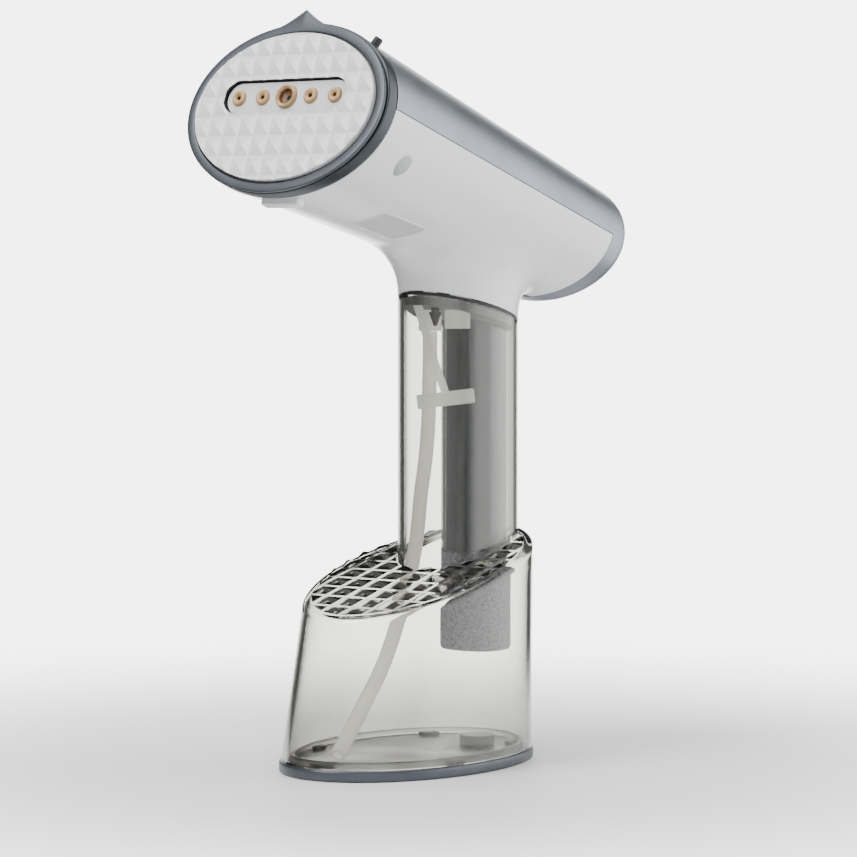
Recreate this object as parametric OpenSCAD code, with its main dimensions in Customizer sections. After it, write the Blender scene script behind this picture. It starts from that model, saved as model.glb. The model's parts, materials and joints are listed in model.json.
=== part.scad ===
// Handheld garment steamer standing on its own water tank.
// Origin: centre of the base's underside. The steam plate faces -Y, +Z is up.

/* [Base] */
// Half width of the foot plate
foot_a = 39.4; // [36:0.1:44]
// Half length of the foot plate
foot_b = 58.6; // [54:0.1:64]
// Height of the foot plate's rim
foot_h = 4.2; // [3.5:0.1:6]
// Height of the sloping deck above the middle of the base
deck_z = 70; // [66:0.5:76]
// Rise of the deck for each millimetre towards the rear
deck_slope = 0.28; // [0.2:0.01:0.34]
// Thickness of the clear walls
wall = 2.2; // [1.8:0.1:2.4]

/* [Handle column] */
// Half width of the oval column
col_a = 20.5; // [19.5:0.1:22]
// Half depth of the oval column
col_b = 26.4; // [25.5:0.1:28]
// Distance of the column's axis behind the middle of the base
col_y = 31.5; // [31:0.1:32]
// Height of the seam between tank and head on the column's axis
seam_z = 168.6; // [168:0.1:169]
// Fall of the seam for each millimetre towards the rear
seam_slope = 0.25; // [0.2:0.01:0.27]

/* [Spine] */
// Half width of the spine
spine_a = 11; // [10:0.1:11.4]
// Half depth of the spine
spine_b = 10; // [9:0.1:10.4]
// Distance of the spine's axis behind the middle of the base
spine_y = 43.2; // [42.5:0.1:43.5]
// Height of the spine's lower end
spine_z = 41; // [40:0.5:60]

/* [Head] */
// Lean of the steam plate from the vertical, in degrees
face_tilt = 20.1; // [18:0.1:22]
// Distance of the steam plate's centre ahead of the middle of the base
face_y = 73.6; // [72:0.1:75]
// Height of the steam plate's centre
face_z = 240.4; // [239:0.1:242]
// Half width of the steam plate
plate_a = 39.6; // [38:0.1:40]
// Half height of the steam plate
plate_b = 27.9; // [26:0.1:28.2]
// Half width of the casing behind the collar
head_a = 44.4; // [44:0.1:46]
// Half height of the casing behind the collar
head_b = 32.2; // [32:0.1:34]
// Thickness of the casing walls
casing_wall = 2.2; // [1.8:0.1:2.6]

/* [Nozzles] */
// Distance between neighbouring nozzles
nozzle_pitch = 10.8; // [10:0.1:11.5]
// Radius of a side nozzle
side_nozzle_r = 2.9; // [2.5:0.1:3.2]
// Radius of the middle nozzle
centre_nozzle_r = 4.45; // [4:0.05:4.8]

/* [Attachment sockets] */
// Radius of the round socket on each side of the casing
socket_r = 3.6; // [2:0.1:4]

/* [Hidden] */

$fn = 48;
sides = 48;                     // sides of the oval prisms and lofts
big = 400;                      // larger than the whole object
slice = 0.01;                   // thickness of a loft's sections
gap = 0.1;                      // clearance between fixed pieces
run = 0.05;                     // radial clearance of a running fit

// Base: the clear wall tapers from the foot plate to a smaller oval above the deck
wall_a = foot_a - 0.8;
wall_b = foot_b - 0.8;
top_z = 92;
top_a = wall_a - 1.5;
top_b = 47.8;
top_y = 11.2;
deck_t = 2;
floor_z = 2.4;                  // underside of the clear floor
floor_t = 1.6;
floor_top = floor_z + floor_t;
lip_a = wall_a - wall - 1.3;     // lip of the floor inside the tapering wall
lip_b = wall_b - wall - 1.3;
boss_a = 34;                    // the five floor bosses stand on this oval
boss_b = 50;
boss_r = 4;
boss_h = 2.4;
foot_count = 5;
drain = [8, 32.5];

// Column, cap and spine well
seam_angle = atan(seam_slope);
deck_angle = atan(deck_slope);
seal_t = 1.5;                   // dark seal on top of the clear column
cap_t = 3.2;
well_gap = 0.3;
well_wall = 1.6;
well_power = 2.6;               // squareness of the spine's rounded section
plug_at = [8.2, 19.6];
plug_r = 4.65;
vent_at = [3.2, 12.8];
tube_at = [-4, 19];
tube_r = 2.75;
connector_r = 4.3;
connector_z = 160;
spigot_r = 2.5;
latch_y = 26;
latch_w = 6;
latch_z = 177.5;
latch_r = 4.5;
button_z = 169.4;
button_r = 4.6;
neck_plate_z = 184;
neck_plate_t = 2.4;
spine_joint_z = 98;

// Head: stations are distances behind the steam plate's front face
head_s = 8;                     // front edge of the casing
rim_s = 162.5;                  // rear edge of the white casing
round_s = 169.9;                // where the rear end starts to round off
round_r = 6;
end_s = round_s + round_r;
taper_a = 0.0583;               // loss of half width per millimetre
taper_b = 0.0442;
lift = 0.0778;                  // rise of the oval's centre per millimetre
head_c = 0.54;
bezel_s0 = 1.3;                 // the bezel lies between these two stations
bezel_s1 = 2.7;
// Pointed top of the bezel
peak = [[-11, 29], [11, 29], [6.5, 32.6], [2.4, 35.6], [0.9, 36.9], [0, 37.2], [-0.9, 36.9], [-2.4, 35.6],
    [-6.5, 32.6]];
lift_angle = atan(lift);
row_v = 4;                      // height of the nozzle row above the plate's centre
slot_w = 55;
slot_h = 12.5;
socket_s = 26.3;
socket_v = -13;
heater_v = 2.6;
heater_r = 17;
heater_w = 14;
pump_v = 16;
pump_s = 124;
panel_v = 13.4;                 // middle of the rear panel

// Route of the suction tube: cap, column, deck opening, floor at the front
tube_route = [
    [-4, 19, 159.8], [-4, 19, 150], [-4.5, 19.2, 138], [-5, 19.2, 125], [-6, 18.8, 112], [-7, 17.2, 98.5],
    [-8, 16.4, 85], [-9, 15, 74], [-8, 9.5, 63], [-6, 2.5, 53.5], [-4, -6, 43], [-2, -15.5, 33.5],
    [0, -27, 24], [2, -38, 15], [3.5, -46.5, 8]
];

function half_a(s) = head_a - taper_a * (s - head_s);
function half_b(s) = head_b - taper_b * (s - head_s);
function mid_v(s) = head_c + lift * (s - head_s);
function oval(a, b, c = 0) = [for (i = [0:sides - 1]) let (t = 360 * i / sides) [a * cos(t), c + b * sin(t)]];
function soft(x, p) = sign(x) * pow(abs(x), 2 / p);
function squircle(a, b, c, p) =
    [for (i = [0:sides - 1]) let (t = 360 * i / sides) [a * soft(cos(t), p), c + b * soft(sin(t), p)]];
function unit(v) = v / norm(v);
function bend(a, b, c, d, t) =
    (2 * b + (c - a) * t + (2 * a - 5 * b + 4 * c - d) * t * t + (3 * b - a - 3 * c + d) * t * t * t) / 2;
function smooth(p, k) = let (n = len(p) - 1) concat(
    [for (i = [0:n - 1]) for (j = [0:k - 1]) bend(p[max(i - 1, 0)], p[i], p[i + 1], p[min(i + 2, n)], j / k)],
    [p[n]]);
function coil_path(r, h, turns, steps) =
    [for (i = [0:turns * steps]) let (t = 360 * i / steps) [r * cos(t), r * sin(t), h * i / (turns * steps)]];

// Round tube along a path; side is a direction that the path never runs along
module tube(path, r, n, side) {
    last = len(path) - 1;
    points = [for (i = [0:last])
        let (
            t = unit(path[min(i + 1, last)] - path[max(i - 1, 0)]),
            u = unit(cross(t, side)),
            w = cross(t, u)
        )
        for (j = [0:n - 1]) path[i] + r * (cos(360 * j / n) * u + sin(360 * j / n) * w)];
    walls = [for (i = [0:last - 1]) for (j = [0:n - 1])
        [i * n + j, (i + 1) * n + j, (i + 1) * n + (j + 1) % n, i * n + (j + 1) % n]];
    ends = [[for (j = [0:n - 1]) j], [for (j = [0:n - 1]) last * n + n - 1 - j]];
    polyhedron(points, concat(walls, ends), convexity = 6);
}

module prism(points, z0, z1) translate([0, 0, z0]) linear_extrude(z1 - z0) polygon(points);
module section(points, z) prism(points, z, z + slice);
module rod(x, y, z0, z1, r) translate([x, y, z0]) cylinder(h = z1 - z0, r = r);
module block(x0, x1, y0, y1, z0, z1) translate([x0, y0, z0]) cube([x1 - x0, y1 - y0, z1 - z0]);
module stadium(w, h, z0, z1) {
    hull() for (x = [-1, 1]) rod(x * (w - h) / 2, 0, z0, z1, h / 2);
}

// Half-spaces below the deck and below the seam, lowered by d
module below_deck(d = 0)
    translate([0, 0, deck_z - d]) rotate([deck_angle, 0, 0]) block(-big, big, -big, big, -big, 0);
module below_seam(d = 0)
    translate([0, col_y, seam_z - d]) rotate([-seam_angle, 0, 0]) block(-big, big, -big, big, -big, 0);
module between_seams(d0, d1) difference() {
    intersection() {
        children();
        below_seam(d0);
    }
    below_seam(d1);
}

// Frame of the head: x sideways, y up the steam plate, z forwards, so a station s lies at z = -s
module head_frame() translate([0, -face_y, face_z]) rotate([90 - face_tilt, 0, 0]) children();
module level(x, v, s0, s1, r) rod(x, v, -s1, -s0, r);
module plate(points, s0, s1) prism(points, -s1, -s0);
module brick(x0, x1, v0, v1, s0, s1) block(x0, x1, v0, v1, -s1, -s0);

// Outer body of the head, or its hollow when inset
module head_loft(inset = 0, s0 = head_s, s1 = end_s) hull() {
    section(oval(half_a(s0) - inset, half_b(s0) - inset, mid_v(s0)), -s0);
    for (t = [0:18:90]) {
        s = round_s + (s1 - round_s) * sin(t);
        turn = inset + round_r * (1 - cos(t)) * 0.9;
        section(oval(half_a(s) - turn, half_b(s) - turn, mid_v(s)), -s);
    }
}
module upper_half(shift) translate([0, head_c + shift, -head_s]) rotate([lift_angle, 0, 0])
    block(-big, big, 0, big, -big, big);

// ---- Tank ----
module base_taper(inset, z0) hull() {
    section(oval(wall_a - inset, wall_b - inset), z0);
    section(oval(top_a - inset, top_b - inset, top_y), top_z);
}
module well(grow, z0) prism(squircle(spine_a + grow, spine_b + grow, spine_y, well_power), z0, 200);
module column(inset, z0, z1 = 200) prism(oval(col_a - inset, col_b - inset, col_y), z0, z1);
module boss_spots() for (i = [0:foot_count - 1])
    let (t = 360 * i / foot_count - 90) translate([boss_a * cos(t), boss_b * sin(t), 0]) children();

module tank_base() color("gainsboro", 0.4) difference() {
    intersection() {
        base_taper(0, foot_h);
        below_deck();
    }
    intersection() {
        base_taper(wall, foot_h - 1);
        below_deck(deck_t);
    }
    difference() {
        column(-gap, 40);
        below_deck(deck_t + gap);
    }
}

module handle_column() color("gainsboro", 0.4) difference() {
    union() {
        difference() {
            intersection() {
                column(0, 40);
                below_seam(seal_t);
            }
            column(wall, 30);
            below_deck(deck_t);
        }
        intersection() {
            well(well_gap + well_wall, spine_z - 2.5);
            below_seam(seal_t);
        }
    }
    well(well_gap, spine_z - 0.9);
}

module tank_floor() color("whitesmoke", 0.5) difference() {
    union() {
        prism(oval(foot_a - 2.3, foot_b - 2.3), floor_z, floor_top);
        difference() {
            prism(oval(lip_a, lip_b), floor_top, foot_h + 2.4);
            prism(oval(lip_a - 1.4, lip_b - 1.4), floor_z, foot_h + 3);
        }
        intersection() {
            boss_spots() rod(0, 0, floor_top, floor_top + boss_h, boss_r);
            prism(oval(lip_a, lip_b), floor_z, 20);
        }
    }
    boss_spots() rod(0, 0, floor_z - 1, floor_top + 1, 1.3);
    rod(drain[0], drain[1], 0, 20, 4.1);
}

module foot_plate() color("slategray") difference() {
    prism(oval(foot_a, foot_b), 0, foot_h - 0.02);
    prism(oval(foot_a - 2.2, foot_b - 2.2), floor_z, foot_h + 1);
    boss_spots() {
        rod(0, 0, -1, 1, boss_r + 0.6);
        rod(0, 0, -1, 10, 1.4);
    }
    rod(drain[0], drain[1], -1, 10, 4.1);
}

module foot_screws() color("silver") boss_spots() union() {
    rod(0, 0, 1.02, 1.3, 1.35);
    rod(0, 0, 1.3, floor_top + 0.9, 1.25);
}

module rubber_feet() color("dimgray") boss_spots() rod(0, 0, 0, 0.98, boss_r + 0.5);

module drain_plug() color("gray") translate([drain[0], drain[1], 0]) {
    difference() {
        union() {
            rod(0, 0, floor_top, floor_top + 3.5, 6.5);
            rod(0, 0, 0.5, floor_top + 0.5, 4);
        }
        block(-0.7, 0.7, -2.6, 2.6, 0, 1.4);
    }
}

module tank_cap() color("lightgray") difference() {
    between_seams(seal_t + 0.2, seal_t + cap_t) difference() {
        column(wall + gap, 150);
        well(well_gap + well_wall + gap, 140);
    }
    rod(plug_at[0], plug_at[1], 100, 200, plug_r + run);
    rod(vent_at[0], vent_at[1], 100, 200, 1.6);
    rod(tube_at[0], tube_at[1], 100, 200, connector_r - 0.9);
    block(-4, 0.1, 8.6, 11, 100, 200);
    block(-16.3, -11.3, latch_y - latch_w / 2 - 0.4, latch_y + latch_w / 2 + 0.4, 100, 200);
}

module tank_seal() color("darkslategray") between_seams(0.3, seal_t - 0.02) difference() {
    column(0.5, 150);
    column(wall + 0.6, 140);
}

module tube_connector() color("ghostwhite") difference() {
    union() {
        rod(tube_at[0], tube_at[1], connector_z, 165.8, connector_r);
        rod(tube_at[0], tube_at[1], 165, 171, connector_r - 1);
    }
    rod(tube_at[0], tube_at[1], 162.5, 180, spigot_r + 0.4);
    rod(tube_at[0], tube_at[1], 150, 170, 1.5);
}

module suction_tube() color("whitesmoke") tube(smooth(tube_route, 3), tube_r, 10, [1, 0, 0]);

module vent_valve() color("dimgray") translate([vent_at[0], vent_at[1], 0]) {
    translate([0, 0, 162]) cylinder(h = 5.2, r1 = 0.6, r2 = 2.4);
    rod(0, 0, 167.2, 171, 1.5);
}

module plug_tether() color("whitesmoke") {
    // Flat strap hanging from the cap to the middle of the anchor bar
    hull() {
        block(-3.6, -0.6, 8.9, 9.9, 169.5, 170.5);
        block(3.6, 6.6, 16.1, 17.1, 136.5, 137.5);
    }
    translate([5.1, 16.6, 134.8]) rotate([0, -7, 34.3]) block(-10.5, 10.5, -0.7, 0.7, -2.7, 2.7);
}

module filler_plug() color("ghostwhite") translate([plug_at[0], plug_at[1], 0]) {
    rod(0, 0, 161, 172, plug_r);
    rod(0, 0, 171.8, 173, 5.6);
    block(-0.9, 0.9, -3.4, 3.4, 172.5, 175.4);
}

// ---- Head, outside ----
module sockets(x0, x1, r) for (side = [-1, 1])
    translate([0, socket_v, -socket_s]) rotate([0, side * 90, 0]) rod(0, 0, x0, x1, r);

module main_casing() color("white") difference() {
    union() {
        head_frame() difference() {
            intersection() {
                head_loft();
                brick(-big, big, -big, big, head_s + 0.3, rim_s);
            }
            upper_half(0);
        }
        difference() {
            union() {
                column(0, 140, 192);
                hull() {
                    section(oval(col_a, col_b, col_y), seam_z + 7.5);
                    section(oval(col_a + 6.5, col_b + 6.5, col_y - 0.5), 192);
                }
            }
            below_seam();
        }
        head_frame() intersection() {
            head_loft();
            sockets(31.5, 60, socket_r + 2);
        }
    }
    head_frame() difference() {
        head_loft(casing_wall, head_s - 4, end_s - 3);
        sockets(31.5, 60, socket_r + 2);
    }
    column(wall, 140, 196);
    head_frame() {
        sockets(33, 60, socket_r);
        brick(-8.7, 8.7, -60, -20, 9.6, 14.5);
    }
    translate([0, col_y, button_z]) rotate([-90, 0, 0]) cylinder(h = 60, r = button_r + run);
    translate([0, latch_y, latch_z]) rotate([0, -90, 0]) cylinder(h = 60, r = latch_r + run);
}

module top_cover() color("slategray") head_frame() difference() {
    union() {
        difference() {
            intersection() {
                head_loft();
                union() {
                    upper_half(gap);
                    brick(-big, big, -big, big, rim_s + gap, end_s + 1);
                }
            }
            brick(-big, big, -big, big, 0, head_s + 0.3);
            head_loft(casing_wall, head_s - 4, end_s - 3);
        }
        for (x = [-17, 17]) level(x, panel_v, 160, end_s - 2.5, 3.4);
    }
    plate(oval(22.2, 12.7, panel_v), end_s - 2.4, end_s + 5);
    plate(oval(19, 11, panel_v), end_s - 4, end_s + 5);
    for (x = [-17, 17]) level(x, panel_v, 150, end_s + 5, 1.3);
}

module rear_panel() color("darkgray") head_frame() difference() {
    plate(oval(22, 12.5, panel_v), end_s - 2.3, end_s);
    level(0, panel_v - 5, 150, 190, 5.7);
    level(0, panel_v + 6.2, 150, 190, 4.2 + run);
    level(10.5, panel_v + 4, 150, 190, 1.6);
    for (x = [-17, 17]) {
        level(x, panel_v, 150, 190, 1.3);
        level(x, panel_v, end_s - 1, 190, 2.4);
    }
}

module collar_ring() color("darkslategray") head_frame() difference() {
    plate(oval(head_a + 0.2, head_b + 0.2, 0.4), bezel_s1 + 0.3, head_s);
    plate(oval(head_a - 3, head_b - 3, 0.4), 0, 20);
}

module front_bezel() color("slategray") head_frame() difference() {
    union() {
        plate(oval(head_a - 0.6, head_b - 0.3), bezel_s0, bezel_s1);
        plate(peak, bezel_s0, bezel_s1);
    }
    plate(oval(plate_a + 0.8, plate_b + 0.8), 0, 20);
}

module face_gasket() color("black") head_frame() difference() {
    plate(oval(plate_a + 0.7, plate_b + 0.7), 1.9, 4.8);
    plate(oval(plate_a + 0.1, plate_b + 0.1), 0, 20);
}

module steam_plate() color("white") head_frame() difference() {
    plate(oval(plate_a, plate_b), 0, 2.9);
    translate([0, row_v, 0]) stadium(slot_w, slot_h, -20, 20);
}

module nozzle_spots(all) for (i = [-2:2]) if (all || i != 0) translate([i * nozzle_pitch, row_v, 0]) children();

module nozzle_strip() color("gainsboro") head_frame() difference() {
    translate([0, row_v, 0]) stadium(slot_w - 0.4, slot_h - 0.4, -2.9, -1);
    nozzle_spots(false) level(0, 0, -5, 20, side_nozzle_r + gap);
    translate([0, row_v, 0]) level(0, 0, -5, 20, centre_nozzle_r + gap);
}

module side_nozzles() color("burlywood") head_frame() nozzle_spots(false) difference() {
    level(0, 0, -0.6, 3.1, side_nozzle_r);
    level(0, 0, -5, 20, 0.75);
}

module centre_nozzle() color("burlywood") head_frame() translate([0, row_v, 0]) difference() {
    level(0, 0, -1, 3.1, centre_nozzle_r);
    level(0, 0, -5, 20, 2.5);
}

module accessory_nubs() color("black") head_frame() for (side = [-1, 1])
    translate([side * 26.6, 26, -10.4]) rotate([-90, 0, side * -29]) cylinder(h = 3.4, r = 1.9);

module release_tab() color("white") head_frame() difference() {
    brick(-8.4, 8.4, -33.4, -25.6, 9.9, 14.2);
    brick(-6.9, 6.9, -32, -20, 11.2, 12.9);
}

module rating_plate() color("lightgray") head_frame() intersection() {
    difference() {
        head_loft(-0.35);
        head_loft(-0.05);
    }
    brick(5, 23.5, -60, -12, 43, 72);
}

module steam_button() color("gray") translate([0, 0, button_z]) rotate([-90, 0, 0]) {
    rod(0, 0, 55, 59.2, button_r);
    rod(0, 0, 53.2, 54.2, button_r + 0.6);
    rod(0, 0, 54.1, 55.1, button_r - 1);
    rod(0, 0, 50.7, 53.4, 1.8);
}

module power_button() color("lightgray") head_frame() {
    level(0, panel_v + 6.2, end_s - 3.2, end_s + 1, 4.2);
    level(0, panel_v + 6.2, end_s - 8, end_s - 3, 2);
}

module latch_button() color("gray") {
    translate([0, latch_y, latch_z]) rotate([0, -90, 0]) rod(0, 0, 14.2, 21.2, latch_r);
    block(-16.1, -14.3, latch_y - latch_w / 2, latch_y + latch_w / 2, 165.5, latch_z);
}

module indicator_lens() color("orange") head_frame() level(10.5, panel_v + 4, end_s - 6, end_s + 0.2, 1.5);

module cord_gland() color("dimgray") head_frame() difference() {
    level(0, panel_v - 5, end_s - 12, end_s + 0.6, 5.6);
    level(0, panel_v - 5, 150, 190, 3.6);
}

module casing_screws() color("silver") head_frame() for (x = [-17, 17]) {
    level(x, panel_v, 163, end_s - 0.9, 1.25);
    level(x, panel_v, end_s - 1, end_s - 0.1, 2.3);
}

// ---- Spine and neck ----
module spine_body(inset, z0, z1) prism(squircle(spine_a - inset, spine_b - inset, spine_y, well_power), z0, z1);

module handle_spine() color("slategray") difference() {
    spine_body(0, spine_joint_z, neck_plate_z - 0.02);
    spine_body(2, spine_joint_z - 1, neck_plate_z - 6);
    block(-big, big, spine_y + 7.6, 100, 161, 200);
    for (x = [-6, 6]) rod(x, spine_y - 3, 170, 200, 1.3);
}

module spine_tip() color("slategray") difference() {
    union() {
        spine_body(0, spine_z, spine_joint_z - 0.05);
        spine_body(2.1, spine_joint_z - 1, spine_joint_z + 8);
    }
    spine_body(3.6, spine_z + 2, 150);
}

module neck_plate() color("gray") difference() {
    union() {
        prism(oval(col_a - wall - gap, col_b - wall - gap, col_y), neck_plate_z, neck_plate_z + neck_plate_t);
        block(-6.6, -5, latch_y - 1.9, latch_y + 4, 173, neck_plate_z + 1);
    }
    rod(tube_at[0], tube_at[1], 150, 250, spigot_r + 0.02);
    for (x = [-6, 6]) rod(x, spine_y - 3, 170, 200, 1.3);
    block(3, 12, 28, 33, 150, 250);
}

module spine_screws() color("silver") for (x = [-6, 6]) {
    rod(x, spine_y - 3, 179, neck_plate_z + neck_plate_t + 0.1, 1.25);
    rod(x, spine_y - 3, neck_plate_z + neck_plate_t + 0.05, neck_plate_z + neck_plate_t + 1.6, 2.4);
}

module water_spigot() color("whitesmoke") translate([tube_at[0], tube_at[1], 0]) difference() {
    union() {
        rod(0, 0, 163.5, 191, spigot_r);
        rod(0, 0, 181.5, neck_plate_z - 0.02, 4.5);
    }
    rod(0, 0, 160, 195, 1.3);
}

module spigot_seal() color("black") translate([tube_at[0], tube_at[1], 0]) difference() {
    rod(0, 0, 165, 167, spigot_r + 0.35);
    rod(0, 0, 160, 170, spigot_r + 0.02);
}

module latch_spring() color("silver") translate([-11.6, latch_y, latch_z]) rotate([0, 90, 0])
    tube(coil_path(3, 4.4, 2, 20), 0.5, 8, [0, 0, 1]);

module microswitch() color("black") {
    block(-3.2, 3.2, 42.6, 48.8, 164, 175);
    block(-1, 1, 48.7, 49.1, button_z - 1, button_z + 1);
}

module button_spring() color("silver") translate([0, 49.4, button_z]) rotate([-90, 0, 0])
    tube(coil_path(2.7, 1.8, 1.5, 20), 0.4, 8, [0, 0, 1]);

// ---- Pump and hoses ----
module pump_body() color("silver") head_frame() {
    difference() {
        union() {
            level(0, pump_v, pump_s - 26, pump_s + 24, 6);
            level(0, pump_v, pump_s - 31, pump_s - 25, 2);
            level(0, pump_v, pump_s + 23, pump_s + 28, 2);
        }
        level(0, pump_v, pump_s - 11, pump_s + 12, 4.2);
    }
}

module pump_coil() color("firebrick") head_frame() difference() {
    union() {
        level(0, pump_v, pump_s - 12, pump_s + 12, 12.5);
        brick(-14, 14, pump_v - 8, pump_v + 8, pump_s - 13.6, pump_s - 12);
        brick(-14, 14, pump_v - 8, pump_v + 8, pump_s + 12, pump_s + 13.6);
    }
    level(0, pump_v, 50, 200, 6.1);
}

module pump_plunger() color("gray") head_frame() level(0, pump_v, pump_s - 10.5, pump_s + 4, 4.15);

module pump_spring() color("silver") head_frame() translate([0, pump_v, -(pump_s + 11.6)])
    tube(coil_path(3, 2.6, 2, 20), 0.4, 8, [0, 0, 1]);

module pump_mounts() color("black") head_frame() for (s = [pump_s - 20, pump_s + 18]) difference() {
    brick(-9, 9, pump_v - 8, pump_v + 8, s, s + 4);
    level(0, pump_v, 50, 200, 6.1);
}

module inlet_hose() color("whitesmoke") head_frame() tube(smooth([
    [-4, -14.3, -103.8], [-4.5, -10.5, -102.6], [-8, -6.5, -104.5], [-13, -3.5, -109], [-18, 0, -117],
    [-20, 4, -128], [-20, 9, -140], [-17, 13, -150], [-11, 15.5, -157.5], [-4, 16, -158], [0, 16, -152.5]], 3), 2, 10, [0, 1, 0.2]);

module outlet_hose() color("whitesmoke") head_frame() tube(smooth([
    [14, 9, -46.2], [14, 9, -52], [12, 9, -64], [6, 10.5, -76], [1, 13.5, -85], [0, pump_v, -92.2]], 3),
    2, 10, [0, 1, 0]);

// ---- Heater ----
module heater_channel(grow) for (x = [-1, 1]) level(x * 22, heater_v - 4, 14, 46, 3.2 + grow);

module heater_block() color("silver") head_frame() difference() {
    translate([0, heater_v, 0]) stadium(2 * (heater_r + heater_w), 2 * heater_r, -34, -9.6);
    translate([0, heater_v + 5, 0]) stadium(34, 14, -40, -20);
    heater_channel(0.05);
}

module heater_gasket() color("darkorange") head_frame() difference() {
    translate([0, heater_v + 5, 0]) stadium(42, 21.4, -34.8, -34.05);
    translate([0, heater_v + 5, 0]) stadium(34, 14, -40, -20);
    for (x = [-1, 1]) level(x * 22, heater_v - 4, 10, 60, 3.4);
}

module heater_cover() color("silver") head_frame() difference() {
    union() {
        translate([0, heater_v, 0]) stadium(2 * (heater_r + heater_w) - 2, 2 * heater_r - 2, -37, -34.85);
        level(14, 9, 36, 46, 2);
    }
    level(14, 9, 30, 50, 1);
    for (x = [-1, 1]) level(x * 22, heater_v - 4, 10, 60, 3.4);
}

module heater_element() color("gray") head_frame() {
    heater_channel(0);
    for (x = [-1, 1]) level(x * 22, heater_v - 4, 45.9, 51, 1);
}

module thermostat() color("black") head_frame() translate([-3, 8, 0]) {
    level(0, 0, 37.05, 43, 6.5);
    level(0, 0, 42.9, 46, 4);
    for (x = [-5.2, 5.2]) brick(x - 0.4, x + 0.4, -2.4, 2.4, 42.9, 50);
}

module thermal_fuse() color("tan") head_frame() translate([0, -6.5, -39.4]) rotate([0, 90, 0])
    translate([0, 0, -9]) cylinder(h = 18, r = 2.2);

module heat_shield() color("silver") head_frame() difference() {
    plate(oval(34.5, 24.5, heater_v), 9.8, 47);
    plate(oval(33.8, 23.8, heater_v), 0, 60);
}

module nozzle_manifold() color("silver") head_frame() difference() {
    translate([0, row_v, 0]) stadium(slot_w + 4, slot_h + 4, -9.5, -3.15);
    translate([0, row_v, 0]) stadium(slot_w - 6, slot_h - 5, -7.6, -5.4);
    nozzle_spots(true) level(0, 0, 2, 6, 1.2);
    for (x = [-8, 8]) level(x, row_v, 6, 12, 1.5);
}

// ---- Electrics ----
module control_board() color("darkgreen") head_frame() {
    brick(-17, 17, 23, 24.6, 56, 98);
    brick(-12, 2, 20, 23.05, 62, 76);
    for (s = [82, 91]) translate([8, 23.05, -s]) rotate([90, 0, 0]) cylinder(h = 8, r = 3.6);
    brick(-14, -4, 17.5, 23.05, 82, 95);
}

module wiring_loom() color("firebrick") head_frame() {
    tube(smooth([[3, 8, -161], [8, 4, -157], [19, 4, -150], [22, 13, -136], [20, 20, -118], [12, 21.5, -104],
        [10, 22, -98.2]], 3), 1, 6, [0, 1, 0.3]);
    tube(smooth([[-3, 8, -161], [3, 1, -156], [22, 1, -150], [25, 12, -136], [23, 20, -118], [15, 22.5, -104],
        [13, 22.5, -98.2]], 3), 1, 6, [0, 1, 0.3]);
    for (side = [-1, 1]) tube(smooth([[side * 22, heater_v - 4, -51.6], [side * 22, 2, -56], [side * 21, 10, -58],
        [side * 18, 17, -58], [side * 15.6, 21.7, -60]], 3), 1, 6, [0.2, 0, 1]);
}

tank_base();
handle_column();
tank_floor();
foot_plate();
foot_screws();
rubber_feet();
drain_plug();
tank_cap();
tank_seal();
tube_connector();
suction_tube();
vent_valve();
plug_tether();
filler_plug();
main_casing();
top_cover();
rear_panel();
collar_ring();
front_bezel();
face_gasket();
steam_plate();
nozzle_strip();
side_nozzles();
centre_nozzle();
accessory_nubs();
release_tab();
rating_plate();
steam_button();
power_button();
latch_button();
indicator_lens();
cord_gland();
casing_screws();
handle_spine();
spine_tip();
neck_plate();
spine_screws();
water_spigot();
spigot_seal();
inlet_hose();
pump_body();
pump_coil();
pump_plunger();
pump_spring();
pump_mounts();
outlet_hose();
heater_block();
heater_gasket();
heater_cover();
heater_element();
thermostat();
thermal_fuse();
heat_shield();
nozzle_manifold();
control_board();
microswitch();
button_spring();
latch_spring();
wiring_loom();
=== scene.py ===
"""Handheld garment steamer on its clear water tank: looks, cord, camera and lights."""
import json
from math import atan2, cos, hypot, pi, radians, sin, sqrt

import bmesh
import bpy
import numpy as np
from mathutils import Matrix, Vector


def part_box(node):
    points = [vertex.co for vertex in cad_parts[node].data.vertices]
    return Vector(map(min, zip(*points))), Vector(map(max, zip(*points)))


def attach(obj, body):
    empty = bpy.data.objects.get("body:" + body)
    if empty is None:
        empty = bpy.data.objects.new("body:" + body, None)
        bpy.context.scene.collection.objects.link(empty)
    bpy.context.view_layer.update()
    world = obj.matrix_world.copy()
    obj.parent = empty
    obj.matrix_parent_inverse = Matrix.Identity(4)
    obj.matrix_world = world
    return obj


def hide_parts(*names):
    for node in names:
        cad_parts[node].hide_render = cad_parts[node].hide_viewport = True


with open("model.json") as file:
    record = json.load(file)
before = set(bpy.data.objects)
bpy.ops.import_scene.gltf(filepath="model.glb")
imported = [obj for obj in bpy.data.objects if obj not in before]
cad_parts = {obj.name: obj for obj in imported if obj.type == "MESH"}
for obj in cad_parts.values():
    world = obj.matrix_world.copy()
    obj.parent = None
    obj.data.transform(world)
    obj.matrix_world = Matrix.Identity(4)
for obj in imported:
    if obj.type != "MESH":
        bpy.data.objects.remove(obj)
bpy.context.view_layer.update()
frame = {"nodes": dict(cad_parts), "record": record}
NODES = frame["nodes"]

MM = 0.001
CAMERA_AT = (0.7497, -0.9949, 0.1818)
CAMERA_AZIMUTH, CAMERA_PITCH = 36.65, -2.65     # degrees
CAMERA_LENS, CAMERA_SENSOR = 141.5, 36
ROUND = 144                                     # points round a large oval
OUTLINE = 96                                    # points round a small outline
FACE_ROUND = 288                                # points round the bezel's edges


# ---- Camera and the free tube ---------------------------------------------------------------

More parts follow.
